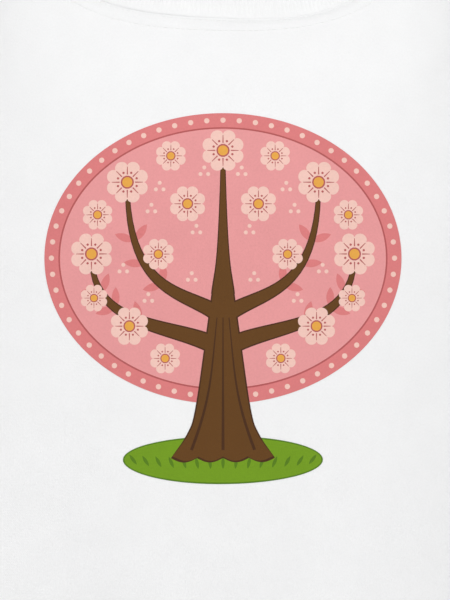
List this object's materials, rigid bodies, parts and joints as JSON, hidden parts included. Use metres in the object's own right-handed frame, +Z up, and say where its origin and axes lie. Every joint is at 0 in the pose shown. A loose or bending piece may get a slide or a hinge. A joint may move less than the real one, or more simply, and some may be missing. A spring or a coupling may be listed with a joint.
{
  "type": "t-shirt",
  "caption": "Short-sleeved crew-neck T-shirt of white jersey, shaped as it is worn, with ribbed collar, turned hems and a round blossom-tree ornament printed on the chest.",
  "frame": {"origin": "midway between the two points where the shoulder seams meet the collar, where a wearer's shoulders carry the shirt", "axes": "+Z up along the wearer's body, front of the shirt towards -Y, +X towards the wearer's left arm"},
  "size_m": [0.7046, 0.2777, 0.734],
  "materials": {
    "jersey": "fine single-jersey knit, matt white",
    "rib_knit": "one-by-one rib knit, matt white",
    "tape": "narrow herringbone tape, matt white",
    "pink_ink": "soft pink ink in the knit",
    "green_ink": "soft green ink in the knit",
    "brown_ink": "soft brown ink in the knit"
  },
  "bodies": {
    "root": {"front_panel": "jersey", "back_panel": "jersey", "left_sleeve": "jersey", "right_sleeve": "jersey", "neck_rib": "rib_knit", "neck_tape": "tape", "print_crown": "pink_ink", "print_foot": "green_ink", "print_tree": "brown_ink"}
  },
  "joints": []
}
